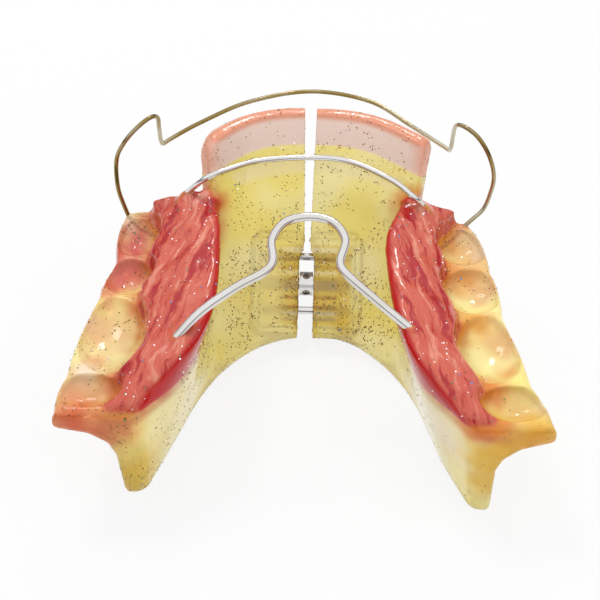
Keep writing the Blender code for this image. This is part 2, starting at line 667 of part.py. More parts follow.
def build():
    acrylic = make_material("yellow clear acrylic", (0.80, 0.66, 0.20), 0.15)
    red = make_material("red acrylic", (0.62, 0.06, 0.07), 0.20)
    pink = make_material("pink acrylic", (0.72, 0.42, 0.38), 0.20)
    steel = make_material("stainless steel", (0.70, 0.70, 0.72), 0.22, 1.0)
    plastic = make_material("screw housing plastic", (0.78, 0.70, 0.38), 0.30)

    floor = make_floor_cutter()
    bow_path = over_shelf(BOW_LEFT + BOW_FRONT + BOW_RIGHT)
    lingual_path = (over_shelf(LINGUAL_LEFT) + over_shelf(LINGUAL_FRONT, WALL_RISE)
                    + over_shelf(LINGUAL_RIGHT))
    palatal_path = over_shelf(PALATAL)
    tags = {
        "left": {"bow": bow_path[:5], "lingual": lingual_path[:4], "palatal": palatal_path[:4]},
        "right": {"bow": bow_path[:-6:-1], "lingual": lingual_path[:-5:-1],
                  "palatal": palatal_path[:-5:-1]},
    }
    diameters = {"bow": BOW_WIRE, "lingual": LINGUAL_WIRE, "palatal": PALATAL_WIRE}
    for side in ("left", "right"):
        half = Half(side)
        channels = {key: wire_channel(f"{side}_{key}_channel", path, diameters[key])
                    for key, path in tags[side].items()}
        make_half(half, acrylic, red, pink, floor, channels)
        make_housing(half, plastic)
    make_spindle(steel)
    make_pins(steel)
    bent_wire("labial_bow", bow_path, BOW_WIRE, steel)
    bent_wire("lingual_arch", lingual_path, LINGUAL_WIRE, steel)
    bent_wire("palatal_loop", palatal_path, PALATAL_WIRE, steel)
    centre_on_origin()


clear_scene()
ARCH = bpy.data.objects.new("arch", None)
bpy.context.collection.objects.link(ARCH)
build()
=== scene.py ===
"""Bionator: the looks of a two-part acrylic jaw appliance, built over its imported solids.

Lengths are in metres unless a comment gives another unit. X runs across the arch, +Y to the lips
and +Z up, and the appliance stands on z = 0.
"""
import math

import bmesh
import bpy
import numpy as np
from mathutils import Matrix, Vector, noise
from mathutils.bvhtree import BVHTree


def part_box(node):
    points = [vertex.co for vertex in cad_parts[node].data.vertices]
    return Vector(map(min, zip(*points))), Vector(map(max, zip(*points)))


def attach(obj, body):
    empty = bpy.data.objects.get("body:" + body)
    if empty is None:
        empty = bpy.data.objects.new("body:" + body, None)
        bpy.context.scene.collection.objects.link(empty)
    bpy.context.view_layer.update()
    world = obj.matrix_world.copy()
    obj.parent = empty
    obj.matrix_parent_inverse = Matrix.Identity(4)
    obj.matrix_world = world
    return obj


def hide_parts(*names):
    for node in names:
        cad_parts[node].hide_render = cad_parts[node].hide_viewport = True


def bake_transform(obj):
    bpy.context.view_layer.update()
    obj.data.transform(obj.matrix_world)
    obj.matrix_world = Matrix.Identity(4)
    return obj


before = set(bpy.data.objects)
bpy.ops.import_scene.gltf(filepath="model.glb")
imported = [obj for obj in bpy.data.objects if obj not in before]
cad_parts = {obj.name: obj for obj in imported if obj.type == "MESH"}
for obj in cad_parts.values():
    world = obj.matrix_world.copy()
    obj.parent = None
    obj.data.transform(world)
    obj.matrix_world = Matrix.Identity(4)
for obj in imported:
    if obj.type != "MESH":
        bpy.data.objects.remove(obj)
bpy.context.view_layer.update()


# Wires
# Stainless spring wire, bent cold with pliers: the labial bow round the front teeth, the lingual
# arch behind them, and the heavier palatal loop. Their ends are caught in the acrylic.
MM = 0.001
WIRE_STEP = 0.0003      # between the places that a wire is drawn through
MERGE = 1e-6            # corners nearer than this become one
# Bends of each wire in mm, from its end in the left half to its end in the right half
BOW = [(-18.0, 2.2, 13.0), (-20.6, 3.4, 13.3), (-22.6, 4.2, 13.6), (-24.0, 4.8, 14.8),
       (-24.9, 5.4, 17.0), (-25.6, 6.2, 19.8), (-25.6, 7.6, 23.2), (-24.3, 7.6, 26.2),
       (-22.5, 8.6, 28.0), (-21.0, 10.1, 28.4), (-20.3, 11.4, 27.4), (-20.3, 12.1, 25.0),
       (-20.3, 12.7, 22.5), (-20.1, 13.4, 21.3), (-19.3, 14.2, 21.4), (-15.3, 17.3, 22.0),
       (-8.6, 21.7, 22.5), (0.0, 24.4, 22.5), (8.3, 22.5, 22.5), (13.9, 18.0, 22.0),
       (18.3, 14.4, 21.4), (19.1, 13.7, 21.3), (19.2, 12.9, 22.8), (19.1, 12.1, 25.2),
       (19.2, 11.2, 27.6), (20.2, 9.9, 28.4), (21.9, 8.5, 27.8), (23.5, 7.5, 25.6),
       (24.5, 7.2, 22.4), (24.3, 6.6, 19.9), (23.6, 5.9, 17.7), (22.3, 5.2, 16.5),
       (20.9, 4.5, 15.3), (19.3, 3.5, 13.8), (17.0, 2.0, 13.0)]
ARCH = [(-17.4, 1.0, 17.9), (-17.4, 3.4, 18.7), (-16.5, 4.8, 19.8), (-13.4, 4.3, 23.3),
        (-10.3, 6.1, 23.5), (-6.5, 8.3, 23.1), (0.0, 9.9, 22.5), (5.4, 8.9, 22.8),
        (10.8, 5.8, 22.5), (13.6, 3.6, 21.7), (15.1, 3.6, 20.1), (16.1, 3.0, 18.6),
        (15.5, 0.6, 17.8)]
LOOP = [(-17.2, -21.4, 17.8), (-15.4, -20.4, 19.7), (-12.6, -18.3, 22.0), (-8.5, -16.0, 24.0),
        (-5.2, -14.2, 24.9), (-4.2, -12.5, 25.2), (-4.4, -9.3, 25.6), (-2.9, -6.6, 26.0),
        (0.1, -5.6, 26.1), (3.0, -6.4, 26.0), (4.5, -9.0, 25.6), (3.9, -12.5, 25.1),
        (5.0, -14.3, 24.6), (8.8, -16.3, 22.2), (12.7, -18.2, 19.7), (14.9, -19.8, 17.8)]


def linear(hex_colour):
    """An sRGB hex colour as linear RGBA."""
    channels = [int(hex_colour[i:i + 2], 16) / 255 for i in (0, 2, 4)]
    return tuple(c / 12.92 if c <= 0.04045 else ((c + 0.055) / 1.055) ** 2.4
                 for c in channels) + (1.0,)


def add_node(tree, kind, inputs=None, **settings):
    """A new node with its settings, where an input given as a socket becomes a link."""
    node = tree.nodes.new(kind)
    for name, value in settings.items():
        setattr(node, name, value)
    for key, value in (inputs or {}).items():
        if isinstance(value, bpy.types.NodeSocket):
            tree.links.new(value, node.inputs[key])
        else:
            node.inputs[key].default_value = value
    return node


def new_material(name):
    """A material with its tree and its Principled shader."""
    material = bpy.data.materials.new(name)
    material.use_nodes = True
    tree = material.node_tree
    return material, tree, tree.nodes["Principled BSDF"]


def add_mesh(name, data):
    """A new object in the scene for a mesh, or for a curve that becomes one."""
    obj = bpy.data.objects.new(name, data)
    bpy.context.scene.collection.objects.link(obj)
    return obj


def made_plain(obj):
    """Replaces an object by one with its evaluated mesh and no modifiers."""
    bpy.context.view_layer.update()
    graph = bpy.context.evaluated_depsgraph_get()
    mesh = bpy.data.meshes.new_from_object(obj.evaluated_get(graph))
    name = obj.name
    bpy.data.objects.remove(obj, do_unlink=True)
    return add_mesh(name, mesh)


def along(points, t):
    """The place at t, counted in points, on a smooth curve through the points."""
    last = len(points) - 1
    i = min(max(int(t), 0), last - 1)
    f = t - i
    p1, p2 = points[i], points[i + 1]
    p0 = points[i - 1] if i > 0 else 2 * p1 - p2
    p3 = points[i + 2] if i + 2 <= last else 2 * p2 - p1
    return 0.5 * (2 * p1 + (p2 - p0) * f + (2 * p0 - 5 * p1 + 4 * p2 - p3) * f ** 2
                  + (3 * p1 - p0 - 3 * p2 + p3) * f ** 3)


def middle(low, high):
    """The place halfway between two corners."""
    return (Vector(low) + Vector(high)) / 2


def tube(name, places, radii):
    """A closed round tube through places, with a radius at each."""
    curve = bpy.data.curves.new(name, "CURVE")
    curve.dimensions = "3D"
    curve.bevel_depth = 1.0
    curve.bevel_resolution = 5
    curve.use_fill_caps = True
    line = curve.splines.new("POLY")
    line.points.add(len(places) - 1)
    for point, place, radius in zip(line.points, places, radii):
        point.co = (*place, 1.0)
        point.radius = radius
    obj = made_plain(add_mesh(name, curve))
    bm = bmesh.new()
    bm.from_mesh(obj.data)
    bmesh.ops.remove_doubles(bm, verts=bm.verts, dist=MERGE)
    bm.to_mesh(obj.data)
    bm.free()
    return obj


def stepped(bends, first, last):
    """Places a wire step apart on the path through bends, from first to last, counted in bends."""
    path = [Vector(point) * MM for point in bends]
    whole = sum((b - a).length for a, b in zip(path, path[1:]))
    count = round(whole * (last - first) / (len(path) - 1) / WIRE_STEP)
    return [along(path, first + (last - first) * k / count) for k in range(count + 1)]


def drawn_wire(name, bends, diameter):
    """A round wire through its bends, placed on the CAD wire of the same name, and its shift."""
    places = stepped(bends, 0, len(bends) - 1)
    wire = tube(name, places, [diameter / 2] * len(places))
    corners = [Vector(corner) for corner in wire.bound_box]
    lowest, highest = corners[0], corners[6]
    shift = middle(*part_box(name)) - middle(lowest, highest)
    wire.data.transform(Matrix.Translation(shift))
    wire.data.shade_smooth()
    return wire, shift


def steel_material(name, bright, heated, share):
    """Drawn stainless wire: bright, with straw tints in patches 1 cm long where it was heated."""
    material, tree, shader = new_material(name)
    coords = add_node(tree, "ShaderNodeTexCoord").outputs["Object"]
    in_cm = add_node(tree, "ShaderNodeVectorMath", {0: coords, 3: 0.1 / MM}, operation="SCALE")
    tint = add_node(tree, "ShaderNodeTexNoise", {"Vector": in_cm.outputs[0], "Scale": 0.9,
                                                 "Detail": 3.0})
    straw = add_node(tree, "ShaderNodeMapRange", {"Value": tint.outputs["Fac"], "From Min": 0.30,
                     "From Max": 0.55, "To Max": share}).outputs[0]
    colour = add_node(tree, "ShaderNodeMix", {0: straw, 6: linear(bright), 7: linear(heated)},
                      data_type="RGBA").outputs[2]
    tree.links.new(colour, shader.inputs["Base Color"])
    shader.inputs["Metallic"].default_value = 1.0
    shader.inputs["Roughness"].default_value = 0.13
    return material


steel = steel_material("bright drawn stainless steel", "E4E4E6", "C6BDAE", 0.4)
straw_steel = steel_material("heat-straw stainless steel", "CFC8B4", "94804E", 1.0)
# Bends, diameter and finish of each wire
WIRES = {"labial_bow": (BOW, 0.0006, straw_steel), "lingual_arch": (ARCH, 0.0008, steel),
         "palatal_loop": (LOOP, 0.0011, steel)}
wire_shift = {}
for name, (bends, diameter, metal) in WIRES.items():
    wire, wire_shift[name] = drawn_wire(name, bends, diameter)
    wire.data.materials.append(metal)
    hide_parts(name)
    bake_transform(wire)


# Expansion screw
# A stock median screw: a threaded spindle with a drilled head, turned with a key, that drives two
# moulded housings apart along two guide pins. The housings are clear plastic.
HOUSING_FACE = 0.0018   # from the spindle's axis to the housing's flat faces
GROOVE_END = 0.0005     # plain end that each groove leaves at both sides of a housing
# Grooves moulded along each housing: height up the slope, width and depth
GROOVES = ((0.0050, 0.0004, 0.0003), (0.0026, 0.0007, 0.0005), (0.0009, 0.0004, 0.0003),
           (-0.0012, 0.0004, 0.0003), (-0.0027, 0.0007, 0.0005), (-0.0043, 0.0004, 0.0003))


def plastic_material():
    """Moulded clear plastic: with acrylic cast against it only a faint edge is left to see."""
    material, _, shader = new_material("moulded clear polycarbonate")
    shader.inputs["Base Color"].default_value = linear("FFF6D4")
    shader.inputs["Roughness"].default_value = 0.05
    shader.inputs["IOR"].default_value = 1.07
    shader.inputs["Transmission Weight"].default_value = 0.95
    return material


def merged_copy(node_name):
    """A CAD node's mesh with the corners of its loose triangles joined."""
    bm = bmesh.new()
    bm.from_mesh(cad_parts[node_name].data)
    bmesh.ops.remove_doubles(bm, verts=bm.verts, dist=MERGE)
    mesh = bpy.data.meshes.new(f"{node_name} copy")
    bm.to_mesh(mesh)
    bm.free()
    return mesh


def screw_axes():
    """Turns (along the spindle, up the slope, out to the tongue) to the world."""
    centre = middle(*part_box("spindle"))
    slope = (middle(*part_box("upper_pin")) - middle(*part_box("lower_pin"))).normalized()
    tongue = Vector((0, -slope.z, slope.y))
    turn = Matrix((Vector((1, 0, 0)), slope, tongue)).transposed()
    return Matrix.Translation(centre) @ turn.to_4x4()


def grooved_housing(side):
    """The CAD housing with its moulded grooves cut into both flat faces."""
    housing = add_mesh(f"{side}_screw_housing", merged_copy(f"{side}_housing"))
    low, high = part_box(f"{side}_housing")
    axes = screw_axes()
    middle_x = (low[0] + high[0]) / 2 - axes.translation.x
    length = high[0] - low[0] - 2 * GROOVE_END
    bm = bmesh.new()
    for height, width, depth in GROOVES:
        for face in (-HOUSING_FACE, HOUSING_FACE):
            size = Matrix.Diagonal((length, width, 2 * depth, 1))
            place = Matrix.Translation((middle_x, height, face))
            bmesh.ops.create_cube(bm, size=1.0, matrix=axes @ place @ size)
    cutter_mesh = bpy.data.meshes.new("grooves")
    bm.to_mesh(cutter_mesh)
    bm.free()
    cutter = add_mesh("grooves", cutter_mesh)
    cut = housing.modifiers.new("grooves", "BOOLEAN")
    cut.operation = "DIFFERENCE"
    cut.solver = "EXACT"
    cut.object = cutter
    housing = made_plain(housing)
    bpy.data.objects.remove(cutter, do_unlink=True)
    return housing


plastic = plastic_material()
for side in ("left", "right"):
    housing = grooved_housing(side)
    housing.data.materials.clear()
    housing.data.materials.append(plastic)
    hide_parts(f"{side}_housing")
    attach(housing, f"{side}_half")
for node_name in ("spindle", "upper_pin", "lower_pin"):
    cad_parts[node_name].material_slots[0].material = steel


# Acrylic halves
# Each half is one body of cold-cured acrylic in three dyes: clear yellow for the plate, red for the
# pad on the palate side and pink along the wall's top. Powder and liquid are dripped on, wire tags
# and screw are caught in it, and the cured half is ground and polished.
FUSE = 0.00022          # half the widest joint between the solids that the casting closes
CAST_GRID = 0.00028
PAD_REACH = 0.4         # mm from the pad within which the casting is rubbed smooth with it
PAD_SLANT = 0.27        # outward per unit of y that the pads run, from the lips to the throat
BORE_ROOM = 0.0002      # between the casting and the screw's moving pieces
SLOT_REACH = 0.001      # from the screw's middle, where the spindle's head stands in the open slot
# Radius of what runs in each bore, as a share of its node's: a spindle's shank is half its head
BORES = (("upper_pin", 1.0), ("lower_pin", 1.0), ("spindle", 0.52))
# Where each wire leaves the acrylic, counted in bends from its left and its right end
WIRE_EXITS = {"labial_bow": (3.2, 2.1), "lingual_arch": (2.0, 1.9), "palatal_loop": (0.85, 0.9)}
PLUG_SKIN = 0.00012     # acrylic drawn up round a wire where it leaves
PLUG_TAIL = 0.4         # of a bend that this skin takes to run out


def joined(name, objects):
    """One object with the meshes of several, which it takes the place of."""
    bm = bmesh.new()
    for obj in objects:
        bm.from_mesh(obj.data)
        bpy.data.objects.remove(obj, do_unlink=True)
    mesh = bpy.data.meshes.new(name)
    bm.to_mesh(mesh)
    bm.free()
    return add_mesh(name, mesh)


def rise(low, high, values):
    """0 below low and 1 above high, with a smooth step between."""
    share = np.clip((values - low) / (high - low), 0.0, 1.0)
    return share * share * (3 - 2 * share)


def fall(low, high, values):
    """1 below low and 0 above high, with a smooth step between."""
    return 1 - rise(low, high, values)


def places_of(mesh):
    flat = np.empty(len(mesh.vertices) * 3)
    mesh.vertices.foreach_get("co", flat)
    return flat.reshape(-1, 3)


def normals_of(mesh):
    flat = np.empty(len(mesh.vertices) * 3)
    mesh.vertex_normals.foreach_get("vector", flat)
    return flat.reshape(-1, 3)


def away_from(node_name, places_mm):
    """How far each place lies from the surface of a CAD node, in mm."""
    bm = bmesh.new()
    bm.from_mesh(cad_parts[node_name].data)
    tree = BVHTree.FromBMesh(bm)
    bm.free()
    return np.array([tree.find_nearest(Vector(place) * MM)[3] for place in places_mm]) / MM


def swell(obj, distance):
    """Moves an object's skin outwards by a distance, or inwards by a negative one."""
    skin = obj.modifiers.new("skin", "DISPLACE")
    skin.strength = distance
    skin.mid_level = 0


def wire_plug(name, side):
    """Acrylic that fills the channel round a wire's tag, and runs out along the wire."""
    bends, diameter, _ = WIRES[name]
    outlet = WIRE_EXITS[name][side == "right"]
    end = outlet + PLUG_TAIL
    places = stepped(bends if side == "left" else bends[::-1], 0, end)
    taper = rise(outlet, end, np.linspace(0, end, len(places)))
    radii = diameter / 2 + FUSE + PLUG_SKIN - taper * 2 * PLUG_SKIN
    plug = tube(f"{side} {name} plug", places, radii)
    plug.data.transform(Matrix.Translation(wire_shift[name]))
    return plug


def open_bores(mesh):
    """Moves the casting's points clear of the pins and the spindle, which slide and turn in it."""
    places = places_of(mesh)
    for node_name, share in BORES:
        low, high = (np.array(corner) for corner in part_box(node_name))
        centre = (low + high) / 2
        radius = (high[1] - low[1]) / 2 * share + BORE_ROOM
        away = places[:, 1:] - centre[1:]
        reach = np.hypot(away[:, 0], away[:, 1])
        caught = (reach < radius) & (places[:, 0] > low[0] - BORE_ROOM) & (places[:, 0] < high[0])
        caught &= np.abs(places[:, 0] - centre[0]) > SLOT_REACH
        places[caught, 1:] = centre[1:] + away[caught] * (radius / reach[caught])[:, None]
    mesh.vertices.foreach_set("co", places.ravel())
    mesh.update()


def cast_half(side):
    """One half as a single casting over the solids of its plate, pad, band and screw housing."""
    grown = []
    for kind in ("plate", "pad", "band", "housing"):
        obj = add_mesh(f"{side} {kind}", merged_copy(f"{side}_{kind}"))
        swell(obj, FUSE)
        grown.append(made_plain(obj))
    grown += [wire_plug(name, side) for name in WIRES]
    half = joined(f"{side}_half", grown)
    remesh = half.modifiers.new("cast", "REMESH")
    remesh.mode = "VOXEL"
    remesh.voxel_size = CAST_GRID
    half = made_plain(half)
    swell(half, -FUSE)
    polish = half.modifiers.new("polish", "SMOOTH")
    polish.iterations = 6
    half = made_plain(half)
    open_bores(half.data)
    near_pad = away_from(f"{side}_pad", places_of(half.data) / MM) < PAD_REACH
    half.vertex_groups.new(name="pad").add(np.flatnonzero(near_pad).tolist(), 1.0, "REPLACE")
    rub = half.modifiers.new("rub", "SMOOTH")
    rub.vertex_group = "pad"
    rub.iterations = 40
    return made_plain(half)


# Where each dye ran while the acrylic was wet: place and reach in mm, colour, strength
DYE_RUNS = {
    "left": (
        ((-22.0, -16.0, 12.0), 12.0, "EDD9A0", 0.7),
        ((-20.5, -27.5, 4.0), 7.0, "DDB410", 0.9),
        ((-24.0, 0.0, 15.0), 9.0, "E9A283", 0.8),
        ((-22.9, 4.0, 14.8), 4.4, "D4605C", 1.0),
        ((-24.3, 6.4, 15.8), 2.2, "EFB9A4", 0.8),
        ((-20.0, 8.0, 16.5), 4.0, "DE7F72", 0.9),
        ((-24.3, -2.1, 14.3), 3.8, "DC6A5E", 0.95),
        ((-21.9, -1.4, 15.0), 2.6, "D9604F", 0.9),
        ((-21.0, 3.5, 16.0), 2.4, "E3B070", 0.7),
        ((-25.8, 0.8, 15.5), 3.0, "D0463E", 1.0),
        ((-26.4, -4.5, 15.0), 2.6, "DD6457", 0.9),
        ((-24.9, -11.3, 13.8), 4.4, "EBC48C", 0.9),
        ((-21.0, -9.0, 15.4), 2.8, "DA8444", 0.9),
        ((-21.8, -13.0, 15.4), 2.6, "DB8A50", 0.9),
        ((-27.3, -11.0, 15.5), 2.4, "EBC9A0", 0.8),
        ((-25.4, -7.0, 15.4), 2.2, "DE7A62", 0.8),
        ((-25.6, -16.8, 15.4), 2.4, "E8A377", 0.8),
        ((-26.3, -19.6, 15.6), 2.4, "F4E0CC", 0.9),
        ((-25.9, -22.6, 14.2), 3.4, "E6C283", 0.9),
        ((-23.0, -21.4, 15.5), 3.0, "D9784A", 0.9),
        ((-27.0, -27.0, 13.5), 7.0, "DA5C2C", 1.0),
        ((-22.5, -28.5, 13.5), 5.8, "DC7030", 0.95),
        ((-28.6, -21.0, 12.0), 4.5, "E8916A", 0.8),
        ((-28.6, -12.0, 12.0), 4.5, "E9A27C", 0.7),
        ((-27.0, -2.0, 12.0), 4.0, "E07F66", 0.8),
    ),
    "right": (
        ((14.0, -14.0, 9.0), 12.0, "F0E5BE", 0.8),
        ((17.5, -22.7, 10.0), 7.0, "F3E6CC", 0.8),
        ((22.9, -29.0, 6.0), 5.0, "E8B41C", 0.9),
        ((22.0, 2.0, 15.0), 8.0, "E8B272", 0.8),
        ((19.9, 9.0, 15.8), 3.6, "E58F72", 0.9),
        ((18.8, 5.4, 15.2), 3.0, "D9923A", 0.95),
        ((21.4, 5.7, 14.3), 2.8, "EFCB98", 0.8),
        ((23.4, 3.6, 15.5), 2.6, "EBD8C2", 0.9),
        ((20.2, -2.0, 15.4), 3.2, "E39A3C", 0.95),
        ((23.0, -3.6, 14.0), 3.0, "E6B37C", 0.9),
        ((25.6, -0.6, 15.5), 2.4, "D9584E", 0.95),
        ((26.4, -3.4, 15.2), 2.2, "DC6455", 0.9),
        ((21.6, -10.2, 15.4), 3.4, "E3952A", 0.95),
        ((24.6, -12.0, 13.8), 3.4, "E6B678", 0.9),
        ((27.4, -12.5, 15.5), 2.6, "EDC296", 0.8),
        ((24.4, -16.8, 15.4), 2.6, "E39A5A", 0.8),
        ((22.4, -20.8, 15.4), 3.4, "DC7F3A", 0.95),
        ((25.8, -22.3, 14.0), 3.6, "E5C481", 0.9),
        ((28.8, -23.2, 15.2), 3.0, "E8D5A6", 0.8),
        ((26.4, -28.4, 13.5), 7.0, "E29E10", 1.0),
        ((22.6, -29.0, 10.5), 6.0, "EBB81C", 0.95),
        ((21.0, -27.0, 16.4), 4.6, "D0501C", 1.0),
        ((27.5, -3.0, 11.5), 4.5, "EBAA84", 0.8),
        ((29.4, -16.0, 11.5), 5.0, "EDB98A", 0.7),
        ((5.5, 0.4, 3.0), 3.4, "E0B810", 1.0),
    ),
}
WANDER = 1.3            # mm that the edge of a dye wanders while it is wet
DYE_FULL = 0.2          # mm from the CAD pad or band up to which its dye is at full strength
DYE_GONE = {"pad": 0.9, "band": 0.5}    # mm from it where the dye has run out
DRAWN_UP = 18.5         # mm, above which the red is drawn up round the wires
DRAWN_SHARE = 1.15      # how much further it runs there
WALL_START = 9.0        # mm, the y from which the front wall stands before the pads
RUN_OUT = 3.2           # mm that the red runs out of a pad into the cups
CUP_FLOOR = 12.5        # mm, lowest place on a block that the red reaches
CUP_EDGE = {"left": "D66E30", "right": "E07C14"}
PLATE_YELLOW = "F7E67C"
PLATE_PALE = "FCF4B4"
# Deeper yellow painted as shade, low in the slot between the halves
SLOT_SHADE_YELLOW = "E8C010"
BAND_PINK = "E9D0C2"
BAND_EDGE = "DD8560"
UNDER_BAND = "F7E9B0"
HOUSING_YELLOW = "EBC828"
# Where the look of the housings painted on the skin starts to fade and is gone, in mm from the
# screw's middle, along the spindle, up the slope and out to the tongue
HOUSING_EDGES = ((6.0, 6.5), (5.3, 5.7), (2.6, 3.2))
# Lines painted on the skin for the highlights and shade of the housings' grooves: height up the
# slope and half width in mm, colour
HOUSING_PAINTED_LINES = ((4.9, 0.5, "FBF3C4"), (3.6, 0.35, "C69A2C"), (2.5, 0.35, "CFA838"),
                 (1.7, 0.45, "FAEEB0"), (0.0, 0.9, "D8BC78"), (-1.7, 0.35, "B4822C"),
                 (-3.0, 0.4, "CFA030"), (-3.9, 0.4, "FAF0BE"), (-4.7, 0.35, "B9A878"))
PAINTED_LINE_ENDS = (3.9, 4.6)  # mm along the spindle where those lines start to fade and are gone
FOIL_HEAP = (0.0, 2.0, 5.0)     # mm, low on the wall by the screw, where most foil settled


def noise_at(places_mm, scale, seed):
    """Smooth noise from about -1 to 1 at each place. The scale is cells per mm, on each axis."""
    scaled = places_mm * np.array(scale) + seed
    return np.array([noise.noise(Vector(place)) for place in scaled])


def store(mesh, name, values):
    """Keeps a number for each point, under a name that the materials read."""
    mesh.attributes.new(name, "FLOAT", "POINT").data.foreach_set("value", values)


def dyed(colours, dye, share):
    """Colours with a dye run into them, by its share at each point."""
    return colours + (np.array(linear(dye)) - colours) * share[:, None]


def plate_colours(side, places, pad_run):
    """Yellow in paler clouds, with the dyes that ran into it, the red that left the pad and painted
    shade by the slot.
    """
    wet = places + WANDER * np.stack([noise_at(places, 0.45, seed) for seed in (3, 23, 43)], 1)
    cloud = rise(-0.45, 0.45, noise_at(places, 0.16, 61))
    colours = np.tile(linear(PLATE_YELLOW), (len(places), 1))
    colours = dyed(colours, PLATE_PALE, cloud * 0.8)
    for place, reach, dye, strength in DYE_RUNS[side]:
        away = np.linalg.norm(wet - np.array(place), axis=1)
        colours = dyed(colours, dye, strength * fall(reach * 0.15, reach * 1.1, away))
    red = pad_run * rise(CUP_FLOOR, CUP_FLOOR + 1.5, places[:, 2])
    patchy = rise(-0.35, 0.25, noise_at(places, 0.35, 97))
    colours = dyed(colours, CUP_EDGE[side], red * (0.6 + 0.4 * patchy))

    # Painted shade: a deeper yellow, low down, where it meets the screw and the slot between the
    # halves
    at_slot = fall(0.9, 2.2, np.abs(places[:, 0]))
    low_down = fall(9.5, 11.5, places[:, 2])
    return dyed(colours, SLOT_SHADE_YELLOW, at_slot * low_down * 0.6)


def with_painted_housing(colours, places):
    """The housings painted on their skin: a deeper yellow, with painted highlights and shade for
    their moulded grooves.
    """
    to_screw = np.array(screw_axes().inverted())
    in_screw = places @ to_screw[:3, :3].T + to_screw[:3, 3] / MM
    over = np.ones(len(places))
    for axis, (full, gone) in enumerate(HOUSING_EDGES):
        over *= fall(full, gone, np.abs(in_screw[:, axis]))
    colours = dyed(colours, HOUSING_YELLOW, over * 0.75)
    inside = fall(*PAINTED_LINE_ENDS, np.abs(in_screw[:, 0]))
    # Painted highlights and shade of each groove, as pale and dark lines
    for height, half_width, shade in HOUSING_PAINTED_LINES:
        line = fall(half_width * 0.5, half_width, np.abs(in_screw[:, 1] - height))
        colours = dyed(colours, shade, over * line * inside * 0.8)
    return colours


def with_band(side, colours, places, band):
    """Pale pink along the wall's top, deeper at its upper edge and outer end, over a pale line."""
    low, high = (Vector(corner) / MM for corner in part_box(f"{side}_band"))
    under = fall(0.4, 1.2, np.abs(places[:, 2] - (low.z - 0.5)))
    colours = dyed(colours, UNDER_BAND, under * (places[:, 1] > 10) * 0.8)
    colours = dyed(colours, BAND_PINK, band)
    top_edge = rise(high.z - 1.0, high.z - 0.4, places[:, 2])
    end_x = max(abs(low.x), abs(high.x))
    outer_end = rise(end_x - 3.6, end_x - 0.8, np.abs(places[:, 0]))
    return dyed(colours, BAND_EDGE, band * np.maximum(top_edge, outer_end * 0.8) * 0.85)


def foil_share(places, band):
    """How thickly the foil lies: it sank to the bottom of the mould and lies most by the screw."""
    heap = fall(7.0, 17.0, np.linalg.norm(places - FOIL_HEAP, axis=1))
    foil = (0.55 + 1.3 * heap) * (1 - 0.5 * band)
    foil *= 1 - 0.85 * rise(9.0, 11.0, places[:, 0]) * fall(-6, -3, places[:, 1])
    return foil * rise(-0.5, 0.3, noise_at(places, 0.3, 83))


def dye_half(side, mesh):
    """Stores each point's dye, foil and clearness, and returns how much of it is red pad."""
    places = places_of(mesh) / MM
    away = {kind: away_from(f"{side}_{kind}", places) for kind in ("pad", "band", "housing")}
    drawn_up = (places[:, 2] > DRAWN_UP) & (places[:, 1] < WALL_START)
    pad_gone = np.where(drawn_up, DRAWN_SHARE * DYE_GONE["pad"], DYE_GONE["pad"])
    pad = fall(DYE_FULL, pad_gone, away["pad"])
    band = fall(DYE_FULL, DYE_GONE["band"], away["band"])
    colours = plate_colours(side, places, fall(0.4, RUN_OUT, away["pad"]))
    colours = with_painted_housing(colours, places)
    colours = with_band(side, colours, places, band)
    mesh.attributes.new("dye", "FLOAT_COLOR", "POINT").data.foreach_set("color", colours.ravel())
    store(mesh, "pad_dye", pad)
    store(mesh, "band_dye", band)

    # Painted shade: the flank of the pad that faces the tongue is painted deep red by the way it
    # faces
    towards = -normals_of(mesh)[:, 0] * np.sign(places[:, 0])
    store(mesh, "pad_flank_shade", pad * rise(0.15, 0.55, towards))
    store(mesh, "foil", foil_share(places, band))

    # Over the housings the skin is thin and clear enough to show them
    store(mesh, "thin", fall(0.6, 1.4, away["housing"]))
    return pad


FOLD_DEPTH = 0.00008    # of the wrinkles that the palate presses into a pad


def fold_pad(mesh, red):
    """Presses the folds of the palate into the red pad, long and low, along the pad."""
    places = places_of(mesh)
    normals = normals_of(mesh)
    in_mm = places / MM
    across = np.abs(in_mm[:, 0]) + PAD_SLANT * in_mm[:, 1]
    bent = np.stack([across, in_mm[:, 1], in_mm[:, 2]], 1)
    folds = 1 - 2.2 * np.abs(noise_at(bent, (0.42, 0.10, 0.2), 7))
    fine = 1 - 2.0 * np.abs(noise_at(bent, (1.1, 0.26, 0.4), 19))
    upward = rise(0.1, 0.5, normals[:, 2])
    lift = FOLD_DEPTH * red * upward * (folds + fine * 0.5)
    mesh.vertices.foreach_set("co", (places + normals * lift[:, None]).ravel())
    mesh.update()


# Reds of a pad: its own, those of its dark streaks and of its light streaks, which are partly
# painted reflection, and the painted shade of its flank
PAD_RED = "C05443"
PAD_DEEP = "A01820"
PAD_PALE_STREAK_AND_SHEEN = "D48672"
PAD_FLANK_SHADE = "B0040A"


